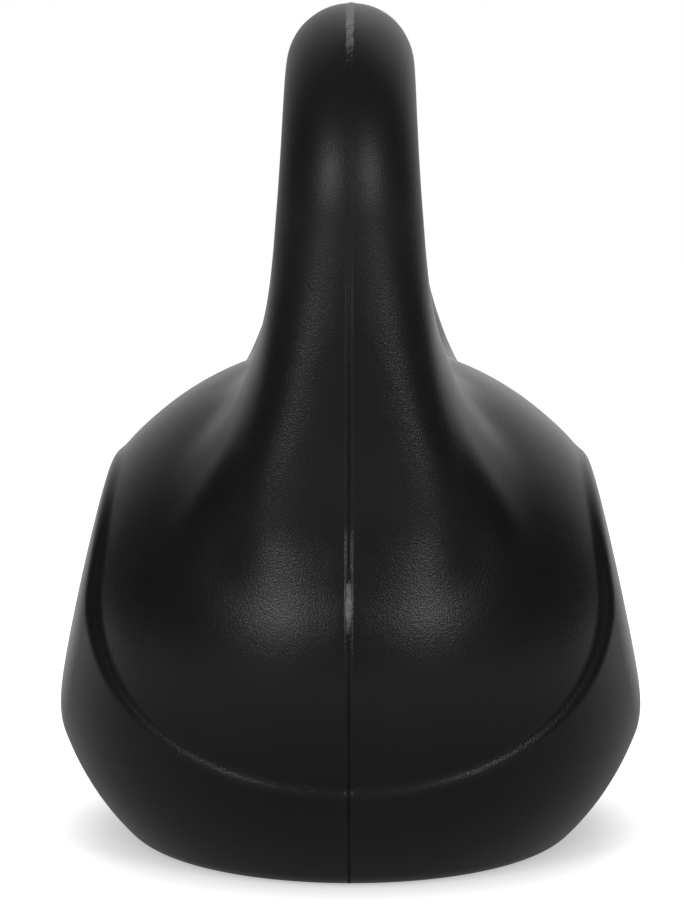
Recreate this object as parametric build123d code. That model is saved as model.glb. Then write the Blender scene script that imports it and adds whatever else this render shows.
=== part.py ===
from build123d import *
import os
from math import atan2, cos, hypot, pi, radians, sin, sqrt, tan

# Frame and units: millimetres and degrees, +Z up, origin at the middle of the base on the ground.
# The grip bar runs along X, the front panel faces -Y, and the moulding seam lies in the plane y = 0.

# Overall height and the grip bar
total_height = 245.0
grip_diameter = 36.0

# Handle arch: bends between the grip and the horns, which lean outwards as they come down
arch_half_width = 57.0
arch_bend_radius = 40.0
horn_lean = 1.0
horn_root_half_depth = 26.5
horn_root_half_thickness = 16.5
horn_root_height = 130.0
horn_foot_half_depth = 28.0
horn_foot_half_thickness = 17.0
horn_foot_height = 72.0
horn_root_fillet = 27.0
horn_root_fillet_share = 0.7

# Ball
ball_radius = 87.0
ball_centre_height = 60.0

# Cradle: a layer proud of the ball that narrows to a round base, with two flat panels leaning inwards
ledge_depth = 2.5
base_step = 25.0
panel_half_depth = 84.7
panel_foot_height = 47.0
panel_slope = 12.3

# Upper edge of the cradle seen from the front: a dome over each panel, then a flare to the sides
panel_top_height = 115.0
flare_radius = 125.0
flare_centre_width = 160.3
flare_centre_height = 130.0

# Moulded wall, the shrinkage gap round the filling, and the recess inside the standing rim
wall = 3.0
filling_gap = 0.3
recess_radius = 46.0
recess_depth = 2.5

# Filler hole in the base and its push-in plug
filler_hole_radius = 16.0
plug_clearance = 0.2
plug_flange_width = 5.0
plug_flange_thickness = 1.5
plug_lip_width = 0.8
plug_lip_thickness = 1.2
plug_reach = 4.0
plug_pocket_clearance = 1.5

# Weld bead that stands out of the seam
bead_height = 0.7
bead_width = 1.8
bead_foot_height = 1.5

# Room by which cutting shapes pass the object
cut_margin = 20.0

# Values that follow from the sizes above
grip_radius = grip_diameter / 2
grip_height = total_height - grip_radius
bend_centre_x = arch_half_width - arch_bend_radius
bend_centre_z = grip_height - arch_bend_radius
lean = radians(horn_lean)
horn_top_x = bend_centre_x + arch_bend_radius * cos(lean)
horn_top_z = bend_centre_z + arch_bend_radius * sin(lean)
slope = tan(radians(panel_slope))
cradle_radius = ball_radius + ledge_depth
base_radius = ball_radius - base_step
bowl_swell = cradle_radius - base_radius
bowl_radius = (bowl_swell ** 2 + ball_centre_height ** 2) / (2 * bowl_swell)
flare_run = flare_centre_width - cradle_radius
ball_underside_height = flare_centre_height - sqrt(flare_radius ** 2 - flare_run ** 2)
cavity_floor = recess_depth + wall
window_half_width = arch_half_width - grip_radius
root_fillet = min(horn_root_fillet, horn_root_fillet_share * window_half_width)
reach = max(cradle_radius, arch_half_width + grip_radius) + cut_margin
tall = total_height + 2 * cut_margin


def arch_plane(x, z, outward_angle):
    """Plane across the arch; the outward angle is 90 degrees on the grip."""
    return Plane(origin=(x, 0, z), x_dir=(0, 1, 0), z_dir=(sin(outward_angle), 0, -cos(outward_angle)))


def horn_section(height, half_thickness, half_depth, inset):
    """Section of a horn, thickened towards the window only."""
    thicker = half_thickness - grip_radius
    distance = (horn_top_z - height) / cos(lean)
    x = horn_top_x + distance * sin(lean) - thicker * cos(lean)
    z = height - thicker * sin(lean)
    return (arch_plane(x, z, lean) * Ellipse(half_depth - inset, half_thickness - inset)).face()


def arch(inset):
    """Grip, two bends and two horns, with the feet of the horns inside the ball."""
    bar_end = arch_plane(bend_centre_x, grip_height, pi / 2) * Circle(grip_radius - inset)
    grip = extrude(bar_end, amount=2 * bend_centre_x, dir=(-1, 0, 0))
    bend_axis = Axis((bend_centre_x, 0, bend_centre_z), (0, 1, 0))
    bend = revolve(bar_end, axis=bend_axis, revolution_arc=90 - horn_lean)
    top = (arch_plane(horn_top_x, horn_top_z, lean) * Circle(grip_radius - inset)).face()
    root = horn_section(horn_root_height, horn_root_half_thickness, horn_root_half_depth, inset)
    foot = horn_section(horn_foot_height, horn_foot_half_thickness, horn_foot_half_depth, inset)
    half = bend + loft([top, root, foot])
    return grip + half + mirror(half, about=Plane.YZ)


def ball(inset):
    """The whole ball."""
    radius = ball_radius - inset
    rim = ThreePointArc((radius, 0), (0, -radius), (-radius, 0))
    half_disc = make_face([rim, Line((-radius, 0), (radius, 0))])
    return Pos(0, 0, ball_centre_height) * revolve(Plane.YZ * half_disc, axis=Axis.Y)


def cradle_edge(inset):
    """Front view of the cradle's extent: a dome and two flares that meet it without a corner."""
    top = panel_top_height - inset
    flare = flare_radius + inset
    rise = flare_centre_height - top
    dome = (flare_centre_width ** 2 + rise ** 2 - flare ** 2) / (2 * (flare - rise))
    dome_centre = top - dome
    spacing = hypot(flare_centre_width, flare_centre_height - dome_centre)
    meet_x = flare_centre_width * dome / spacing
    meet_z = dome_centre + (flare_centre_height - dome_centre) * dome / spacing
    meet_angle = atan2(meet_z - flare_centre_height, meet_x - flare_centre_width) % (2 * pi)
    end_angle = 1.5 * pi
    middle_angle = (meet_angle + end_angle) / 2
    middle_x = flare_centre_width + flare * cos(middle_angle)
    middle_z = flare_centre_height + flare * sin(middle_angle)
    end_z = flare_centre_height - flare
    floor = end_z - cut_margin
    right_flare = ThreePointArc((flare_centre_width, end_z), (middle_x, middle_z), (meet_x, meet_z))
    over = ThreePointArc((meet_x, meet_z), (0, top), (-meet_x, meet_z))
    left_flare = ThreePointArc((-meet_x, meet_z), (-middle_x, middle_z), (-flare_centre_width, end_z))
    under = Polyline((-flare_centre_width, end_z), (-flare_centre_width, floor),
                     (flare_centre_width, floor), (flare_centre_width, end_z))
    outline = make_face([right_flare, over, left_flare, under])
    return extrude(Plane.XZ * outline, amount=reach, both=True)


def cradle(inset, floor):
    """Bowl up to the middle of the ball and a round layer above it, ending at the ledge."""
    bowl_centre = cradle_radius - bowl_radius
    outer = cradle_radius - inset

    def bowl(height):
        return bowl_centre + sqrt((bowl_radius - inset) ** 2 - (ball_centre_height - height) ** 2)

    half_height = (floor + ball_centre_height) / 2
    side = outer * sqrt(0.5)
    bottom = Line((0, floor), (bowl(floor), floor))
    lower = ThreePointArc((bowl(floor), floor), (bowl(half_height), half_height), (outer, ball_centre_height))
    upper = ThreePointArc((outer, ball_centre_height), (side, ball_centre_height + side),
                          (0, ball_centre_height + outer))
    middle = Line((0, ball_centre_height + outer), (0, floor))
    profile = make_face([bottom, lower, upper, middle])
    return revolve(Plane.YZ * profile, axis=Axis.Z) & cradle_edge(inset)


def between_panels(inset):
    """Room between the two leaning panel planes."""
    low = -cut_margin
    high = total_height + cut_margin
    foot_depth = panel_half_depth - inset * hypot(1, slope)
    low_depth = foot_depth - slope * (low - panel_foot_height)
    high_depth = foot_depth - slope * (high - panel_foot_height)
    outline = make_face(Polyline((-low_depth, low), (low_depth, low),
                                 (high_depth, high), (-high_depth, high), close=True))
    return extrude(Plane.YZ * outline, amount=reach, both=True)


def above(height):
    """Everything over a height."""
    return Pos(0, 0, height) * Box(2 * reach, 2 * reach, tall, align=(Align.CENTER, Align.CENTER, Align.MIN))


def is_horn_root(edge):
    """True for an edge where a horn grows out of the ball."""
    box = edge.bounding_box()
    ball_top = ball_centre_height + ball_radius
    return box.size.Y > grip_radius and box.min.Z > ball_centre_height and box.max.Z < ball_top


def kettlebell(inset, floor):
    """The whole outer form, drawn in by an inset, standing on a floor height."""
    body = ball(inset) + arch(inset)
    roots = body.edges().filter_by(is_horn_root)
    body = fillet(roots, root_fillet + inset) & above(ball_underside_height)
    body = body + cradle(inset, floor)
    return body & between_panels(inset)


def upright_cylinder(radius, low, high):
    """Cylinder on the Z axis between two heights."""
    return Pos(0, 0, low) * Cylinder(radius, high - low, align=(Align.CENTER, Align.CENTER, Align.MIN))


def front_half(solid):
    """The part of a solid in front of the seam plane."""
    return solid & Pos(0, -reach / 2, tall / 2 - cut_margin) * Box(2 * reach, reach, tall)


outside = kettlebell(0, 0)
cavity = kettlebell(wall, cavity_floor)

# Shell: the moulded wall with its base recess and filler hole, in two like halves
recess = upright_cylinder(recess_radius, -cut_margin, recess_depth)
filler_hole = upright_cylinder(filler_hole_radius, 0, cavity_floor + wall)
front_shell = front_half(outside) - front_half(cavity) - recess - filler_hole
rear_shell = mirror(front_shell, about=Plane.XZ)

# Plug: flange in the recess, stem through the wall and a lip that snaps in above it
stem_radius = filler_hole_radius - plug_clearance
plug_top = cavity_floor + plug_reach
plug_flange = upright_cylinder(filler_hole_radius + plug_flange_width,
                               recess_depth - plug_flange_thickness, recess_depth)
plug_stem = upright_cylinder(stem_radius, recess_depth, plug_top)
lip_low = cavity_floor + plug_clearance
plug_lip = upright_cylinder(filler_hole_radius + plug_lip_width, lip_low, lip_low + plug_lip_thickness)
filler_plug = plug_flange + plug_stem + plug_lip

# Filling: the cavity less a shrinkage gap, with a pocket over the plug
filling = kettlebell(wall + filling_gap, cavity_floor + filling_gap)
pocket_radius = filler_hole_radius + plug_lip_width + plug_pocket_clearance
cement_core = filling - upright_cylinder(pocket_radius, 0, plug_top + plug_pocket_clearance)

# Weld bead: a thin skin over the seam, as one strip outside and one loop round the hand window
skin = kettlebell(-bead_height, 0)
seam_zone = Pos(0, 0, bead_foot_height) * Box(2 * reach, bead_width, tall,
                                              align=(Align.CENTER, Align.CENTER, Align.MIN))
beads = ((skin & seam_zone) - outside).solids().sort_by(lambda bead: bead.bounding_box().size.Z)
window_seam_weld = beads[0]
outer_seam_weld = beads[-1]

nodes = {
    "front_shell": front_shell,
    "rear_shell": rear_shell,
    "outer_seam_weld": outer_seam_weld,
    "window_seam_weld": window_seam_weld,
    "cement_core": cement_core,
    "filler_plug": filler_plug,
}

os.makedirs("parts", exist_ok=True)
for name, solid in nodes.items():
    solid.label = name
    export_step(solid, f"parts/{name}.step")
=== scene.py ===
import math

import bpy
import numpy as np
from mathutils import Matrix, Vector


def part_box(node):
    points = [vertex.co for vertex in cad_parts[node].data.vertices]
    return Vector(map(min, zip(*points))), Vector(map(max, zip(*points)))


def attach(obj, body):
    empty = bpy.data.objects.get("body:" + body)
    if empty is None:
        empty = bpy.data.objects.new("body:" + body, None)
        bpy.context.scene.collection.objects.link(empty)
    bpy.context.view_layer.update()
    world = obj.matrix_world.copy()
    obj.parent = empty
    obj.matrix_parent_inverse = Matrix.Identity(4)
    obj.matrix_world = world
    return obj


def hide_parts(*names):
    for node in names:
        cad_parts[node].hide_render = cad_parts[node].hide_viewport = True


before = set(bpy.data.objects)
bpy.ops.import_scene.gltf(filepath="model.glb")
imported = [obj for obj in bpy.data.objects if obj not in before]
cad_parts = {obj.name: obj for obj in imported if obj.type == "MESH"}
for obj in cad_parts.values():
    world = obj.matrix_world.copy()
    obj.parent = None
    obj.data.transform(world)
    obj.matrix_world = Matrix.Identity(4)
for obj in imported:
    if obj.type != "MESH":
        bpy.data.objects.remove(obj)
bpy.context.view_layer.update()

MM = 0.001
TINY = 1e-6
TINIEST = 1e-9

# Sizes of the form in millimetres: the frame gives the overall ones
shell_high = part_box("front_shell")[1]
total_height = shell_high.z / MM
ball_radius = shell_high.x / MM
ball_height = 60.0
ball_underside = 30.0
underside_round = 6.0

# Handle: grip bar, bends of one radius, and horns that widen, square off and thicken as they come down
grip_radius = 18.0
bend_radius = 40.0
arch_half_width = 57.0
horn_lean = math.radians(1.0)
horn_foot_height = 72.0
horn_foot_round = 1.0
horn_widening = 10.2
horn_widening_middle = 87.5
horn_widening_reach = 19.75
horn_thickening = 0.018
horn_thickening_start = 20.0
horn_flare = 8.3
horn_flare_middle = 125.4
horn_flare_reach = 8.1
grip_squareness = 2.05
horn_squareness = 2.96
squaring_from = 55.0
squaring_to = 130.0

# Horn root fillets, in millimetres; likeness is the cosine between the slopes of ball and handle
inner_root_fillet = 18.0
window_root_fillet = 27.0
outer_root_fillet = 48.6
face_root_fillet = 80.0
inner_root_x = 34.3
outer_root_x = 55.3
side_likeness = (0.97, 0.6)
face_likeness = (0.84, 0.95)
window_likeness = (0.25, -0.2)
face_half_width = (40.0, 22.0)
likeness_limit = 0.98

# Cradle: a layer proud of the ball with a bell-shaped upper edge, a bowl below and two leaning panels
ledge_depth = 2.0
base_radius = 62.0
panel_half_depth = 84.7
panel_foot_height = 47.0
panel_slope = math.radians(12.3)
panel_top_height = 115.0
flare_radius = 125.0
flare_x = 160.3
flare_z = 130.0
ledge_edge_round = 2.0
ledge_root_round = 2.4
panel_round = 4.0
base_round = 4.4
recess_radius = 46.0
recess_depth = 2.5
recess_round = 1.0
wall = 3.0

# Mesh steps, and the moves that settle points on a surface
outer_step = 1.0
inner_step = 3.0
slope_step = 0.04
settling_rounds = 5
least_steepness = 0.05
longest_move = 1.5

# Relaxing of the horn roots, which fades out at the ledge, at the seam and up the horns
root_relaxing = 0.5
root_relaxing_rounds = 90
relaxed_off_ledge = (4.0, 12.0)
relaxed_off_seam = (1.5, 6.0)
relaxed_below = (190.0, 165.0)

# Values that follow
grip_z = total_height - grip_radius
bend_x = arch_half_width - bend_radius
bend_z = grip_z - bend_radius
horn_top_x = bend_x + bend_radius * math.cos(horn_lean)
horn_top_z = bend_z + bend_radius * math.sin(horn_lean)
bend_length = bend_radius * (math.pi / 2 - horn_lean)
cradle_radius = ball_radius + ledge_depth
bowl_swell = cradle_radius - base_radius
bowl_radius = (bowl_swell ** 2 + ball_height ** 2) / (2 * bowl_swell)
bowl_x = cradle_radius - bowl_radius
flare_rise = flare_z - panel_top_height
dome_radius = (flare_x ** 2 + flare_rise ** 2 - flare_radius ** 2) / (2 * (flare_radius - flare_rise))
dome_z = panel_top_height - dome_radius


def smooth_max(a, b, width):
    """The larger of two distances, rounded where they are alike."""
    near = np.maximum(width - np.abs(a - b), 0.0)
    return np.maximum(a, b) + near * near / (4 * width)


def smooth_min(a, b, width):
    """The smaller of two distances, rounded where they are alike."""
    return -smooth_max(-a, -b, width)


def filleted_union(a, b, likeness, radius):
    """Union of two distances with a rolling-ball fillet; likeness is the cosine between their slopes."""
    likeness = np.minimum(likeness, likeness_limit)
    spread = 1 - likeness ** 2
    over_a = radius - a
    over_b = radius - b
    in_fillet = (over_a > likeness * over_b) & (over_b > likeness * over_a)
    reach = np.sqrt(np.maximum(over_a ** 2 + over_b ** 2 - 2 * likeness * over_a * over_b, 0.0) / spread)
    plain = np.minimum(a, b)
    return np.where(in_fillet, np.minimum(plain, radius - reach), plain)


def s_curve(value):
    """Grows from 0 to 1, and is a half at 0."""
    furthest = 30.0
    return 1 / (1 + np.exp(-np.clip(value, -furthest, furthest)))


def smooth_step(low, high, value):
    """0 up to low, 1 from high on and an S between; falls as the value grows where low is the larger."""
    share = np.clip((value - low) / (high - low), 0.0, 1.0)
    return share * share * (3 - 2 * share)


def handle_distance(x, y, z):
    """Distance to the arch, and the parts of its slope along X, Y and Z."""
    across = np.abs(x)
    turn = np.arctan2(z - bend_z, across - bend_x)
    on_grip = across < bend_x
    on_bend = ~on_grip & (turn > horn_lean)
    down = (across - horn_top_x) * math.sin(horn_lean) - (z - horn_top_z) * math.cos(horn_lean)
    travel = np.where(on_bend, bend_radius * (math.pi / 2 - turn), bend_length + down)
    travel = np.where(on_grip, 0.0, travel)
    angle = np.where(on_bend, turn, horn_lean)
    angle = np.where(on_grip, math.pi / 2, angle)
    bend_out = np.hypot(across - bend_x, z - bend_z) - bend_radius
    horn_out = (across - horn_top_x) * math.cos(horn_lean) + (z - horn_top_z) * math.sin(horn_lean)
    out = np.where(on_bend, bend_out, horn_out)
    out = np.where(on_grip, z - grip_z, out)
    widened = s_curve((travel - horn_widening_middle) / horn_widening_reach)
    flared = s_curve((travel - horn_flare_middle) / horn_flare_reach)
    half_depth = grip_radius + horn_widening * widened + horn_flare * flared
    widening_slope = horn_widening * widened * (1 - widened) / horn_widening_reach
    flare_slope = horn_flare * flared * (1 - flared) / horn_flare_reach
    drop = np.maximum(travel - bend_length, 0.0)
    thicker = horn_thickening * drop ** 2 / (drop + horn_thickening_start)
    half_thickness = grip_radius + thicker
    squared = smooth_step(squaring_from, squaring_to, travel)
    power = grip_squareness + (horn_squareness - grip_squareness) * squared
    side_out = (out - thicker) / half_thickness
    side_y = y / half_depth
    share_out = np.abs(side_out) + TINY
    share_y = np.abs(side_y) + TINY
    size = (share_out ** power + share_y ** power) ** (1 / power)
    slope_out = np.sign(side_out) * (share_out / size) ** (power - 1) / half_thickness
    slope_y = np.sign(side_y) * (share_y / size) ** (power - 1) / half_depth
    slope_along = -slope_y * side_y * (widening_slope + flare_slope)
    steepness = np.sqrt(slope_out ** 2 + slope_y ** 2 + slope_along ** 2)
    slope_x = np.sign(x) * (np.cos(angle) * slope_out + np.sin(angle) * slope_along)
    slope_z = np.sin(angle) * slope_out - np.cos(angle) * slope_along
    return (size - 1) / steepness, (slope_x / steepness, slope_y / steepness, slope_z / steepness)


def cradle_edge_distance(x, z):
    """Distance in the front view to the bell-shaped upper edge of the cradle."""
    across = np.abs(x)
    dome = np.hypot(across, z - dome_z) - dome_radius
    flare = flare_radius - np.hypot(across - flare_x, z - flare_z)
    over_dome = across * (flare_z - dome_z) - (z - dome_z) * flare_x < 0
    return np.where(over_dome, dome, flare)


def form(points):
    """Distance to the whole outer form before its base is cut."""
    x, y, z = points.T
    from_middle = np.sqrt(x * x + y * y + (z - ball_height) ** 2) + TINIEST
    ball = from_middle - ball_radius
    handle, (slope_x, slope_y, slope_z) = handle_distance(x, y, z)
    handle = smooth_max(handle, horn_foot_height - z, horn_foot_round)
    likeness = (x * slope_x + y * slope_y + (z - ball_height) * slope_z) / from_middle
    outer_share = smooth_step(inner_root_x, outer_root_x, np.abs(x))
    side_share = outer_share * smooth_step(*side_likeness, likeness)
    face_share = outer_share * smooth_step(*face_likeness, likeness)
    face_share *= smooth_step(*face_half_width, np.abs(y))
    window_share = smooth_step(*window_likeness, likeness)
    fillet = inner_root_fillet + (window_root_fillet - inner_root_fillet) * window_share
    fillet += (outer_root_fillet - fillet) * side_share
    fillet += (face_root_fillet - fillet) * face_share
    body = filleted_union(ball, handle, likeness, fillet)
    body = smooth_max(body, ball_underside - z, underside_round)
    outward = np.hypot(x, y)
    bowl = np.hypot(outward - bowl_x, z - ball_height) - bowl_radius
    layer = from_middle - cradle_radius
    cradle = np.where(z < ball_height, bowl, layer)
    cradle = smooth_max(cradle, cradle_edge_distance(x, z), ledge_edge_round)
    body = smooth_min(body, cradle, ledge_root_round)
    panel_depth = panel_half_depth - math.tan(panel_slope) * (z - panel_foot_height)
    panel = (np.abs(y) - panel_depth) * math.cos(panel_slope)
    return smooth_max(body, panel, panel_round)


def outer_form(points):
    """The outside, standing on its rim round the base recess."""
    x, y, z = points.T
    body = smooth_max(form(points), -z, base_round)
    recess = np.maximum(np.hypot(x, y) - recess_radius, z - recess_depth)
    return smooth_max(body, -recess, recess_round)


def inner_form(points):
    """The hollow inside the wall."""
    return smooth_max(form(points) + wall, recess_depth + wall - points[:, 2], base_round)


def slope_of(field, points):
    """Direction in which a field grows, by small differences."""
    parts = []
    for axis in range(3):
        step = np.zeros(3)
        step[axis] = slope_step
        parts.append((field(points + step) - field(points - step)) / (2 * slope_step))
    return np.stack(parts, axis=1)


def settle(field, points, in_seam):
    """Moves points onto a field's zero surface; points of the seam plane stay in it."""
    for _ in range(settling_rounds):
        slope = slope_of(field, points)
        slope[in_seam, 1] = 0.0
        steepness = np.maximum((slope ** 2).sum(axis=1), least_steepness)
        move = np.clip(field(points) / steepness, -longest_move, longest_move)
        points = points - move[:, None] * slope
    return points


def surface(field, step):
    """Points and quads on a field's zero surface in front of the seam plane, open at that plane."""
    margin = 3.0
    reach = cradle_radius + margin
    xs = np.arange(-reach, reach + step, step)
    rows = math.ceil(reach / step)
    ys = (np.arange(rows + 2) - rows - 0.5) * step
    zs = np.arange(-margin, total_height + margin + step, step)
    side_y, side_z = [values.ravel() for values in np.meshgrid(ys, zs, indexing="ij")]
    layers = []
    for x in xs:
        layer = field(np.stack([np.full_like(side_y, x), side_y, side_z], axis=1))
        layers.append(layer.reshape(len(ys), len(zs)))
    values = np.stack(layers)
    inside = values < 0

    corners = [np.array((i, j, k)) for i in (0, 1) for j in (0, 1) for k in (0, 1)]
    shape = np.array(inside.shape) - 1
    count = np.zeros(shape, dtype=int)
    for i, j, k in corners:
        count += inside[i:i + shape[0], j:j + shape[1], k:k + shape[2]]
    cells = np.argwhere((count > 0) & (count < 8))
    number = np.full(shape, -1)
    number[tuple(cells.T)] = np.arange(len(cells))

    at_corner = [values[tuple((cells + corner).T)] for corner in corners]
    total = np.zeros((len(cells), 3))
    crossings = np.zeros(len(cells))
    for a in range(8):
        for b in range(a + 1, 8):
            if np.abs(corners[a] - corners[b]).sum() != 1:
                continue
            crosses = (at_corner[a] < 0) != (at_corner[b] < 0)
            gap = np.where(crosses, at_corner[a] - at_corner[b], 1.0)
            share = (at_corner[a] / gap)[:, None]
            total += crosses[:, None] * (corners[a] + share * (corners[b] - corners[a]))
            crossings += crosses
    origin = np.array((xs[0], ys[0], zs[0]))
    points = origin + (cells + total / crossings[:, None]) * step
    in_seam = cells[:, 1] == shape[1] - 1
    points[in_seam, 1] = 0.0
    points = settle(field, points, in_seam)

    quads = []
    for axis in range(3):
        first, second = [other for other in range(3) if other != axis]
        before = np.moveaxis(np.moveaxis(inside, axis, 0)[:-1], 0, axis)
        after = np.moveaxis(np.moveaxis(inside, axis, 0)[1:], 0, axis)
        ends = np.argwhere(before != after)
        for other in (first, second):
            ends = ends[(ends[:, other] > 0) & (ends[:, other] < inside.shape[other] - 1)]
        ring = []
        for step_first, step_second in ((-1, -1), (0, -1), (0, 0), (-1, 0)):
            cell = ends.copy()
            cell[:, first] += step_first
            cell[:, second] += step_second
            ring.append(number[tuple(cell.T)])
        quad = np.stack(ring, axis=1)
        turned = before[tuple(ends.T)] == (axis == 1)
        quad[turned] = quad[turned][:, ::-1]
        quads.append(quad)
    return points, np.concatenate(quads), in_seam


def relax(points, quads, share, rounds):
    """Evens a surface out: moves points towards the middle of their neighbours, by a share each round."""
    first = quads.ravel()
    second = np.roll(quads, -1, axis=1).ravel()
    count = np.bincount(first, minlength=len(points)) + np.bincount(second, minlength=len(points))
    for _ in range(rounds):
        middle = np.empty_like(points)
        for axis in range(3):
            middle[:, axis] = np.bincount(first, points[second, axis], len(points))
            middle[:, axis] += np.bincount(second, points[first, axis], len(points))
        middle /= count[:, None]
        points = points + share[:, None] * (middle - points)
    return points


def mesh_normals(points, quads):
    """Normals of a mesh at its points."""
    across = points[quads[:, 2]] - points[quads[:, 0]]
    along = points[quads[:, 3]] - points[quads[:, 1]]
    facing = np.cross(across, along)
    normals = np.zeros_like(points)
    for axis in range(3):
        for corner in range(4):
            normals[:, axis] += np.bincount(quads[:, corner], facing[:, axis], len(points))
    return unit(normals)


def edge_loops(faces, in_seam):
    """Closed loops of point numbers along the open edge of a surface in the seam plane, longest first."""
    follow = {}
    for face in faces:
        for a, b in zip(face, np.roll(face, -1)):
            if in_seam[a] and in_seam[b]:
                follow.setdefault(a, []).append(b)
    one_way = {}
    for a, ends in follow.items():
        for b in ends:
            if a not in follow.get(b, ()):
                one_way[a] = b
    loops = []
    while one_way:
        loop = []
        point = next(iter(one_way))
        while point in one_way:
            loop.append(point)
            point = one_way.pop(point)
        loops.append(loop)
    return sorted(loops, key=len, reverse=True)


def zip_loops(first, second, points):
    """Triangles between two closed loops that run side by side in the same direction."""
    start = np.argmin(((points[second] - points[first[0]]) ** 2).sum(axis=1))
    second = second[start:] + second[:start]
    first = first + first[:1]
    second = second + second[:1]
    triangles = []
    i = j = 0
    while i < len(first) - 1 or j < len(second) - 1:
        step_first = i < len(first) - 1
        if step_first and j < len(second) - 1:
            gap_first = ((points[first[i + 1]] - points[second[j]]) ** 2).sum()
            gap_second = ((points[first[i]] - points[second[j + 1]]) ** 2).sum()
            step_first = gap_first <= gap_second
        if step_first:
            triangles.append((first[i + 1], first[i], second[j]))
            i += 1
        else:
            triangles.append((second[j], second[j + 1], first[i]))
            j += 1
    return triangles


def add_mesh(name, points, faces, normals=None):
    """A smooth mesh object from millimetre points."""
    mesh = bpy.data.meshes.new(name)
    mesh.from_pydata((np.asarray(points) * MM).tolist(), [], faces)
    mesh.polygons.foreach_set("use_smooth", np.ones(len(mesh.polygons), dtype=bool))
    mesh.update()
    if normals is not None:
        mesh.normals_split_custom_set_from_vertices(normals.tolist())
    piece = bpy.data.objects.new(name, mesh)
    bpy.context.scene.collection.objects.link(piece)
    return piece


def unit(vectors):
    """Vectors of length one."""
    return vectors / np.maximum(np.linalg.norm(vectors, axis=1), TINIEST)[:, None]


# Moulded shell halves: the outside and the hollow, joined in the seam plane
outer_points, outer_quads, outer_in_seam = surface(outer_form, outer_step)
inner_points, inner_quads, inner_in_seam = surface(inner_form, inner_step)
outer_loops = edge_loops(outer_quads, outer_in_seam)
inner_loops = edge_loops(inner_quads, inner_in_seam)
outer_normals = unit(slope_of(outer_form, outer_points))
off_ledge = cradle_edge_distance(outer_points[:, 0], outer_points[:, 2])
on_root = smooth_step(*relaxed_off_ledge, off_ledge)
on_root *= smooth_step(*relaxed_off_seam, np.abs(outer_points[:, 1]))
on_root *= smooth_step(*relaxed_below, outer_points[:, 2])
outer_points = relax(outer_points, outer_quads, root_relaxing * on_root, root_relaxing_rounds)
relaxed = mesh_normals(outer_points, outer_quads)
outer_normals = unit(outer_normals + on_root[:, None] * (relaxed - outer_normals))
inner_normals = -unit(slope_of(inner_form, inner_points))
shell_points = np.concatenate([outer_points, inner_points])
shell_normals = np.concatenate([outer_normals, inner_normals])
shell_faces = outer_quads.tolist()
shell_faces += (inner_quads[:, ::-1] + len(outer_points)).tolist()
for outer_loop, inner_loop in zip(outer_loops[:2], inner_loops[:2]):
    shell_faces += zip_loops(outer_loop, [point + len(outer_points) for point in inner_loop], shell_points)
behind = np.array((1.0, -1.0, 1.0))
front_shell = add_mesh("moulded_front_half", shell_points, shell_faces, shell_normals)
rear_faces = [tuple(face)[::-1] for face in shell_faces]
rear_shell = add_mesh("moulded_rear_half", shell_points * behind, rear_faces, shell_normals * behind)


# Weld beads that follow the seam line
def bead(name, path, outward, half_width, height, closed):
    """Thin strip along a path in the seam plane, with a rounded trimmed back."""
    profile = ((-1.0, -0.6), (-0.85, 0.35), (-0.45, 0.9), (0.0, 1.0), (0.45, 0.9), (0.85, 0.35), (1.0, -0.6))
    sides = len(profile)
    points = []
    for place, away, wide, high in zip(path, outward, half_width, height):
        for side, lift in profile:
            points.append(place + away * high * lift + np.array((0.0, wide * side, 0.0)))
    faces = []
    for row in range(len(path) if closed else len(path) - 1):
        this = row * sides
        following = (row + 1) % len(path) * sides
        for side in range(sides):
            beside = (side + 1) % sides
            faces.append((this + side, this + beside, following + beside, following + side))
    if not closed:
        faces.append(tuple(range(sides))[::-1])
        faces.append(tuple(range((len(path) - 1) * sides, len(path) * sides)))
    return add_mesh(name, points, faces)


def uneven(count, spacing, random):
    """Smooth seeded unevenness from 0 to 1 along a path."""
    knots = random.random(count // spacing + 2)
    return np.interp(np.arange(count) / spacing, np.arange(len(knots)), knots)


# Seam: a thin bead, a wider trimmed strip on the grip, a ragged scar on the ball and a low bead between
seam_seed = 20
bead_foot = 1.5
bead_half_width = 0.5
bead_height = 0.3
strip_half_width = 1.4
strip_from = 214.0
strip_fade = 10.0
scar_height = 84.0
scar_reach = 6.0
scar_half_width = 1.1
scar_least = 0.3
low_bead_from = 150.0
low_bead_to = 165.0
low_bead_loss = 0.6
width_spacing = 6
height_spacing = 4
scar_spacing = 2
outer_width_least = 0.55
outer_width_spread = 0.6
outer_height_least = 0.35
outer_height_spread = 0.65
window_width_least = 0.6
window_width_spread = 0.6
window_height_least = 0.4
window_height_spread = 0.6
drop_weight = 10
seam_random = np.random.default_rng(seam_seed)

loop = np.array(outer_loops[0])
lowest = np.argmin(np.abs(outer_points[loop, 0]) + drop_weight * outer_points[loop, 2])
loop = np.roll(loop, -lowest)
loop = loop[outer_points[loop, 2] > bead_foot]
path = outer_points[loop]
level = path[:, 2]
on_strip = smooth_step(strip_from, total_height, level)
on_scar = np.exp(-((level - scar_height) / scar_reach) ** 2) * (path[:, 0] > 0)
on_low_bead = smooth_step(low_bead_from, low_bead_to, level)
on_low_bead *= smooth_step(strip_from + strip_fade, strip_from, level)
width_change = uneven(len(path), width_spacing, seam_random)
scar_change = uneven(len(path), scar_spacing, seam_random)
height_change = uneven(len(path), height_spacing, seam_random)
half_width = bead_half_width * (outer_width_least + outer_width_spread * width_change)
half_width += (strip_half_width - bead_half_width) * on_strip
half_width += (scar_half_width - bead_half_width) * on_scar * (scar_least + scar_change)
height = bead_height * (outer_height_least + outer_height_spread * height_change)
height *= 1 - low_bead_loss * on_low_bead
outer_weld = bead("outer_weld_bead", path, outer_normals[loop], half_width, height, False)

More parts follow.
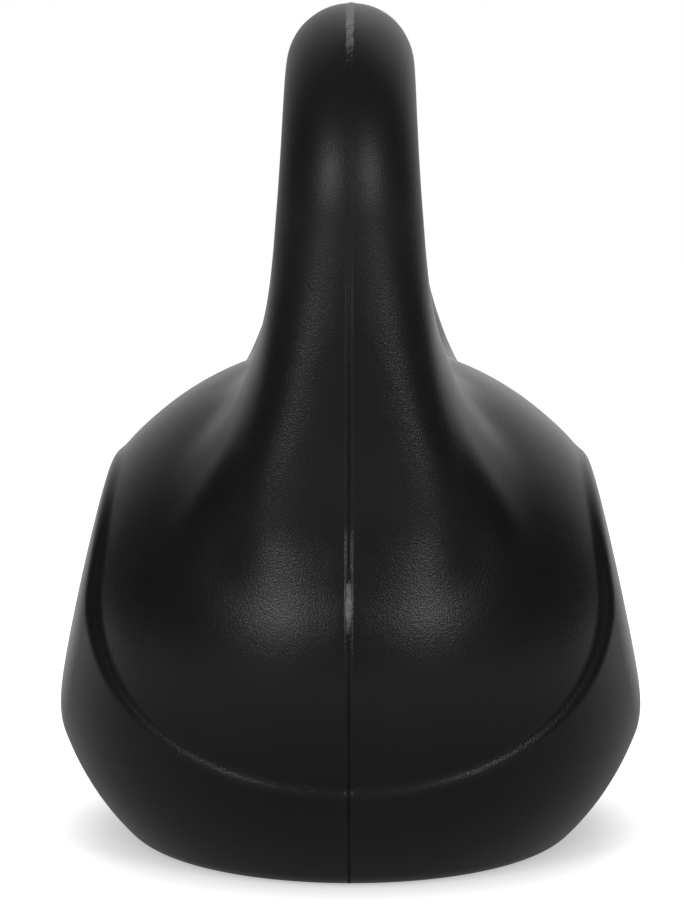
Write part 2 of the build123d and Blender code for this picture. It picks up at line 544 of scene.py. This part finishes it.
loop = np.array(outer_loops[1])
path = outer_points[loop]
width_change = uneven(len(path), width_spacing, seam_random)
height_change = uneven(len(path), height_spacing, seam_random)
half_width = bead_half_width * (window_width_least + window_width_spread * width_change)
height = bead_height * (window_height_least + window_height_spread * height_change)
window_weld = bead("window_weld_bead", path, outer_normals[loop], half_width, height, True)

for piece, node, slot in (
    (front_shell, "front_shell", "shell"),
    (rear_shell, "rear_shell", "shell"),
    (outer_weld, "outer_seam_weld", "seam"),
    (window_weld, "window_seam_weld", "seam"),
):
    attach(piece, "root")
    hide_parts(node)


# Materials
def new_material(name):
    """An empty node material with its shader, and a function that adds linked nodes."""
    material = bpy.data.materials.new(name)
    material.use_nodes = True
    tree = material.node_tree
    shader = tree.nodes["Principled BSDF"]

    def add(kind, inputs=(), **settings):
        node = tree.nodes.new(kind)
        for key, value in settings.items():
            setattr(node, key, value)
        for socket, value in dict(inputs).items():
            if isinstance(value, bpy.types.NodeSocket):
                tree.links.new(value, node.inputs[socket])
            else:
                node.inputs[socket].default_value = value
        return node

    return material, tree, shader, add


def grey(level):
    """A grey with a trace of blue."""
    blue_share = 1.03
    return (level, level, level * blue_share, 1.0)


def moulded_plastic():
    """Matte black polyethylene with a fine pebbled mould texture and two pinch lines at the seam."""
    handle_dullness = 0.13
    pinch_on_body = 0.4
    pinch_change_on_handle = -0.3
    material, tree, shader, add = new_material("black_moulded_plastic")
    place = add("ShaderNodeTexCoord").outputs["Object"]
    pebble = add("ShaderNodeTexNoise", {"Vector": place, "Scale": 1800.0, "Detail": 2.0, "Roughness": 0.6})
    orange_peel = add("ShaderNodeTexNoise", {"Vector": place, "Scale": 190.0, "Detail": 3.0})
    patch = add("ShaderNodeTexNoise", {"Vector": place, "Scale": 22.0, "Detail": 4.0, "Roughness": 0.65})
    colour = add("ShaderNodeMapRange", {"Value": patch.outputs["Fac"], "From Min": 0.3, "From Max": 0.7,
                                        "To Min": 0.0065, "To Max": 0.0105})
    tree.links.new(colour.outputs["Result"], shader.inputs["Base Color"])
    roughness = add("ShaderNodeMapRange", {"Value": patch.outputs["Fac"], "From Min": 0.3, "From Max": 0.7,
                                           "To Min": 0.27, "To Max": 0.33})
    axes = add("ShaderNodeSeparateXYZ", {"Vector": place})
    on_handle = add("ShaderNodeMapRange", {"Value": axes.outputs["Z"], "From Min": 0.15, "From Max": 0.19,
                                           "To Min": 0.0, "To Max": 1.0}, interpolation_type="SMOOTHSTEP")
    duller = add("ShaderNodeMath", {0: on_handle.outputs["Result"], 1: handle_dullness,
                                    2: roughness.outputs["Result"]}, operation="MULTIPLY_ADD")
    tree.links.new(duller.outputs["Value"], shader.inputs["Roughness"])
    from_seam = add("ShaderNodeMath", {0: axes.outputs["Y"]}, operation="ABSOLUTE").outputs["Value"]
    pinch = add("ShaderNodeMapRange", {"Value": from_seam, "From Min": 0.0004, "From Max": 0.0013,
                                       "To Min": 0.0, "To Max": 1.0}, interpolation_type="SMOOTHSTEP")
    bump = add("ShaderNodeBump", {"Height": pebble.outputs["Fac"], "Strength": 0.5, "Distance": 0.00015})
    bump = add("ShaderNodeBump", {"Height": orange_peel.outputs["Fac"], "Strength": 0.06, "Distance": 0.0004,
                                  "Normal": bump.outputs["Normal"]})
    pinching = add("ShaderNodeMath", {0: on_handle.outputs["Result"], 1: pinch_change_on_handle,
                                      2: pinch_on_body}, operation="MULTIPLY_ADD")
    bump = add("ShaderNodeBump", {"Height": pinch.outputs["Result"], "Strength": pinching.outputs["Value"],
                                  "Distance": 0.0008, "Normal": bump.outputs["Normal"]})
    tree.links.new(bump.outputs["Normal"], shader.inputs["Normal"])
    return material


def trimmed_weld():
    """The same plastic, torn and whitened where the flash was cut off."""
    material, tree, shader, add = new_material("trimmed_weld")
    place = add("ShaderNodeTexCoord").outputs["Object"]
    flecks = add("ShaderNodeTexNoise", {"Vector": place, "Scale": 700.0, "Detail": 4.0, "Roughness": 0.7})
    height = add("ShaderNodeSeparateXYZ", {"Vector": place}).outputs["Z"]
    on_grip = add("ShaderNodeMapRange", {"Value": height, "From Min": 0.222, "From Max": 0.244,
                                         "To Min": 0.0, "To Max": 0.55}, interpolation_type="SMOOTHSTEP")
    below_scar = add("ShaderNodeMapRange", {"Value": height, "From Min": 0.072, "From Max": 0.083,
                                            "To Min": 0.0, "To Max": 0.55}, interpolation_type="SMOOTHSTEP")
    above_scar = add("ShaderNodeMapRange", {"Value": height, "From Min": 0.088, "From Max": 0.093,
                                            "To Min": 1.0, "To Max": 0.0}, interpolation_type="SMOOTHSTEP")
    scar = add("ShaderNodeMath", {0: below_scar.outputs["Result"], 1: above_scar.outputs["Result"]},
               operation="MULTIPLY")
    torn = add("ShaderNodeMath", {0: on_grip.outputs["Result"], 1: scar.outputs["Value"]},
               operation="MAXIMUM")
    whiteness = add("ShaderNodeMath", {0: flecks.outputs["Fac"], 1: torn.outputs["Value"]}, operation="ADD")
    colour = add("ShaderNodeMapRange", {"Value": whiteness.outputs["Value"], "From Min": 0.7,
                                        "From Max": 1.15, "To Min": 0.006, "To Max": 0.3})
    tree.links.new(colour.outputs["Result"], shader.inputs["Base Color"])
    sheen = add("ShaderNodeMapRange", {"Value": height, "From Min": 0.14, "From Max": 0.17,
                                       "To Min": 0.27, "To Max": 0.5})
    tree.links.new(sheen.outputs["Result"], shader.inputs["Specular IOR Level"])
    shader.inputs["Roughness"].default_value = 0.55
    bump = add("ShaderNodeBump", {"Height": flecks.outputs["Fac"], "Strength": 0.6, "Distance": 0.0004})
    tree.links.new(bump.outputs["Normal"], shader.inputs["Normal"])
    return material


def mortar():
    """Cast cement mortar with sand and pores."""
    material, tree, shader, add = new_material("cast_mortar")
    place = add("ShaderNodeTexCoord").outputs["Object"]
    sand = add("ShaderNodeTexNoise", {"Vector": place, "Scale": 420.0, "Detail": 6.0, "Roughness": 0.7})
    pores = add("ShaderNodeTexVoronoi", {"Vector": place, "Scale": 160.0})
    colour = add("ShaderNodeMapRange", {"Value": sand.outputs["Fac"], "From Min": 0.3, "From Max": 0.7,
                                        "To Min": 0.3, "To Max": 0.52})
    tree.links.new(colour.outputs["Result"], shader.inputs["Base Color"])
    shader.inputs["Roughness"].default_value = 0.95
    bump = add("ShaderNodeBump", {"Height": sand.outputs["Fac"], "Strength": 0.5, "Distance": 0.0006})
    bump = add("ShaderNodeBump", {"Height": pores.outputs["Distance"], "Strength": 0.3, "Distance": 0.001,
                                  "Normal": bump.outputs["Normal"]})
    tree.links.new(bump.outputs["Normal"], shader.inputs["Normal"])
    return material


def satin_plug():
    """Satin black plug with fine turning rings."""
    material, tree, shader, add = new_material("satin_plug_plastic")
    place = add("ShaderNodeTexCoord").outputs["Object"]
    grain = add("ShaderNodeTexNoise", {"Vector": place, "Scale": 900.0, "Detail": 3.0})
    rings = add("ShaderNodeTexWave", {"Vector": place, "Scale": 120.0, "Distortion": 0.4},
                wave_type="RINGS", rings_direction="Z")
    colour = add("ShaderNodeMapRange", {"Value": grain.outputs["Fac"], "From Min": 0.3, "From Max": 0.7,
                                        "To Min": 0.01, "To Max": 0.017})
    tree.links.new(colour.outputs["Result"], shader.inputs["Base Color"])
    shader.inputs["Roughness"].default_value = 0.36
    bump = add("ShaderNodeBump", {"Height": rings.outputs["Fac"], "Strength": 0.2, "Distance": 0.0002})
    bump = add("ShaderNodeBump", {"Height": grain.outputs["Fac"], "Strength": 0.2, "Distance": 0.0002,
                                  "Normal": bump.outputs["Normal"]})
    tree.links.new(bump.outputs["Normal"], shader.inputs["Normal"])
    return material


plastic = moulded_plastic()
weld = trimmed_weld()
front_shell.data.materials.append(plastic)
rear_shell.data.materials.append(plastic)
outer_weld.data.materials.append(weld)
window_weld.data.materials.append(weld)
for node, material in (("cement_core", mortar()), ("filler_plug", satin_plug())):
    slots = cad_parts[node].data.materials
    slots.clear()
    slots.append(material)


# Floor, backdrop and room: white to the camera, and to other rays no brighter than a lit studio
def stage_mesh(name, points, faces, material):
    """A piece of the surroundings, in metres."""
    mesh = bpy.data.meshes.new(name)
    mesh.from_pydata(points, [], faces)
    mesh.materials.append(material)
    holder = bpy.data.objects.new(name, mesh)
    bpy.context.scene.collection.objects.link(holder)


def floor_material():
    """Pale floor: takes the lamps' contact shadow and a painted shadow in its glow near the object, and is
    plain white further off; reflections see a painted glow.
    """
    material, tree, shader, add = new_material("pale_floor")
    tree.nodes.remove(shader)
    # Painted shadow: the glow the camera sees is dimmed in a ring round the object's foot, centred a little
    # behind it
    painted_shadow_middle = (-0.012, 0.0, 0.0)
    place = add("ShaderNodeTexCoord").outputs["Object"]
    away = add("ShaderNodeVectorMath", {0: place}, operation="LENGTH").outputs["Value"]
    off_painted_shadow = add("ShaderNodeVectorMath", {0: place, 1: painted_shadow_middle}, operation="DISTANCE")
    clear = add("ShaderNodeMapRange", {"Value": off_painted_shadow.outputs["Value"], "From Min": 0.062,
                                       "From Max": 0.098, "To Min": 0.36, "To Max": 1.0})
    plain = add("ShaderNodeBsdfDiffuse", {"Color": grey(0.3)}).outputs["BSDF"]
    bright = add("ShaderNodeBsdfDiffuse", {"Color": grey(0.85)}).outputs["BSDF"]
    glow = add("ShaderNodeEmission", {"Strength": clear.outputs["Result"]}).outputs["Emission"]
    seen = add("ShaderNodeAddShader", {0: bright, 1: glow}).outputs["Shader"]
    light_path = add("ShaderNodeLightPath")
    ahead = add("ShaderNodeSeparateXYZ", {"Vector": place}).outputs["X"]
    # Painted light for reflections: the floor glows only to glossy rays, with painted shade near the object
    # and more painted light behind it
    painted_shade_near_object = add("ShaderNodeMapRange", {"Value": away, "From Min": 0.1, "From Max": 0.45,
                                          "To Min": 0.19, "To Max": 0.38})
    painted_light_behind = add("ShaderNodeMapRange", {"Value": ahead, "From Min": -0.35, "From Max": 0.05,
                                          "To Min": 0.5, "To Max": 0.0})
    lit = add("ShaderNodeMath", {0: painted_shade_near_object.outputs["Result"], 1: painted_light_behind.outputs["Result"]},
              operation="ADD")
    mirrored = add("ShaderNodeEmission", {"Strength": lit.outputs["Value"]}).outputs["Emission"]
    glossy = add("ShaderNodeMixShader", {0: light_path.outputs["Is Glossy Ray"], 1: plain, 2: mirrored})
    mixed = add("ShaderNodeMixShader", {0: light_path.outputs["Is Camera Ray"], 1: glossy.outputs["Shader"],
                                        2: seen}).outputs["Shader"]
    tree.links.new(mixed, tree.nodes["Material Output"].inputs["Surface"])
    return material


def backdrop_material():
    """White sweep behind the object, seen directly and in glancing reflections, lighting nothing else."""
    material, tree, shader, add = new_material("white_backdrop")
    tree.nodes.remove(shader)
    brightest_y = 0.25
    light_path = add("ShaderNodeLightPath")
    place = add("ShaderNodeTexCoord").outputs["Object"]
    side = add("ShaderNodeSeparateXYZ", {"Vector": place}).outputs["Y"]
    off_middle = add("ShaderNodeMath", {0: side, 1: brightest_y}, operation="SUBTRACT").outputs["Value"]
    from_middle = add("ShaderNodeMath", {0: off_middle}, operation="ABSOLUTE").outputs["Value"]
    lit = add("ShaderNodeMapRange", {"Value": from_middle, "From Min": 0.3, "From Max": 2.0,
                                     "To Min": 0.95, "To Max": 0.25})
    dark = add("ShaderNodeBsdfDiffuse", {"Color": grey(0.15)}).outputs["BSDF"]
    mirrored = add("ShaderNodeEmission", {"Strength": lit.outputs["Result"]}).outputs["Emission"]
    white = add("ShaderNodeEmission", {"Strength": 1.0}).outputs["Emission"]
    glossy = add("ShaderNodeMixShader", {0: light_path.outputs["Is Glossy Ray"], 1: dark, 2: mirrored})
    mixed = add("ShaderNodeMixShader", {0: light_path.outputs["Is Camera Ray"], 1: glossy.outputs["Shader"],
                                        2: white}).outputs["Shader"]
    tree.links.new(mixed, tree.nodes["Material Output"].inputs["Surface"])
    return material


def room():
    """Dim room for reflections and fill; white where the camera sees past the sweep."""
    room_level = 0.085
    world = bpy.data.worlds.new("studio_room")
    bpy.context.scene.world = world
    world.use_nodes = True
    tree = world.node_tree
    tree.nodes.clear()
    light_path = tree.nodes.new("ShaderNodeLightPath")
    dim = tree.nodes.new("ShaderNodeBackground")
    dim.inputs["Color"].default_value = grey(room_level)
    white = tree.nodes.new("ShaderNodeBackground")
    white.inputs["Color"].default_value = (1, 1, 1, 1)
    mix = tree.nodes.new("ShaderNodeMixShader")
    output = tree.nodes.new("ShaderNodeOutputWorld")
    tree.links.new(light_path.outputs["Is Camera Ray"], mix.inputs[0])
    tree.links.new(dim.outputs[0], mix.inputs[1])
    tree.links.new(white.outputs[0], mix.inputs[2])
    tree.links.new(mix.outputs[0], output.inputs["Surface"])


floor_half = 3.0
floor_corners = [(-floor_half, -floor_half, 0), (floor_half, -floor_half, 0),
                 (floor_half, floor_half, 0), (-floor_half, floor_half, 0)]
stage_mesh("floor", floor_corners, [(0, 1, 2, 3)], floor_material())

sweep_radius = 2.0
sweep_height = 3.6
sweep_half_angle = math.radians(62)
sweep_steps = 32
sweep_points = []
for step in range(sweep_steps + 1):
    angle = math.pi + sweep_half_angle * (2 * step / sweep_steps - 1)
    for level in (0.0, sweep_height):
        sweep_points.append((sweep_radius * math.cos(angle), sweep_radius * math.sin(angle), level))
sweep_faces = [(2 * step, 2 * step + 2, 2 * step + 3, 2 * step + 1) for step in range(sweep_steps)]
stage_mesh("backdrop", sweep_points, sweep_faces, backdrop_material())
room()


# Soft boxes, in metres and degrees: azimuth is measured from +X, the camera's side, towards +Y
lamp_target_height = 0.11


def soft_box(name, azimuth, elevation, distance, width, height, watts):
    """Area lamp that looks at the middle of the object."""
    lamp = bpy.data.lights.new(name, "AREA")
    lamp.shape = "RECTANGLE"
    lamp.size = width
    lamp.size_y = height
    lamp.energy = watts
    holder = bpy.data.objects.new(name, lamp)
    turn = math.radians(azimuth)
    lift = math.radians(elevation)
    middle = Vector((0.0, 0.0, lamp_target_height))
    away = Vector((math.cos(lift) * math.cos(turn), math.cos(lift) * math.sin(turn), math.sin(lift)))
    holder.location = middle + distance * away
    holder.rotation_euler = away.to_track_quat("Z", "Y").to_euler()
    bpy.context.scene.collection.objects.link(holder)
    return holder


soft_box("front_left", azimuth=-28, elevation=23.5, distance=1.5, width=0.2, height=0.46, watts=4.3)
soft_box("front_right", azimuth=30, elevation=23.5, distance=1.5, width=0.2, height=0.46, watts=3.8)
overhead = soft_box("overhead", azimuth=180, elevation=82, distance=1.7, width=1.4, height=1.4, watts=9.0)
overhead.visible_glossy = False

# Camera: looks along the grip from just above level; millimetres, and pixels of the image
camera_distance = 1000.0
camera_elevation = math.radians(8.16)
camera_azimuth = math.radians(0.52)
target_height = 112.41
image_height = 918
focal_pixels = 3405.0
sensor_width = 36.0
object_right_of_middle = 2.58
camera_data = bpy.data.cameras.new("camera")
camera_data.sensor_width = sensor_width
camera_data.lens = sensor_width * focal_pixels / image_height
camera = bpy.data.objects.new("camera", camera_data)
bpy.context.scene.collection.objects.link(camera)
back = Vector((math.cos(camera_elevation) * math.cos(camera_azimuth),
               math.cos(camera_elevation) * math.sin(camera_azimuth),
               math.sin(camera_elevation)))
right = Vector((-math.sin(camera_azimuth), math.cos(camera_azimuth), 0.0))
up = back.cross(right)
eye = Vector((0.0, 0.0, target_height)) + back * camera_distance - right * object_right_of_middle
turned = Matrix((right, up, back)).transposed().to_4x4()
camera.matrix_world = Matrix.Translation(eye * MM) @ turned
bpy.context.scene.camera = camera
bpy.context.scene.view_settings.view_transform = "Standard"
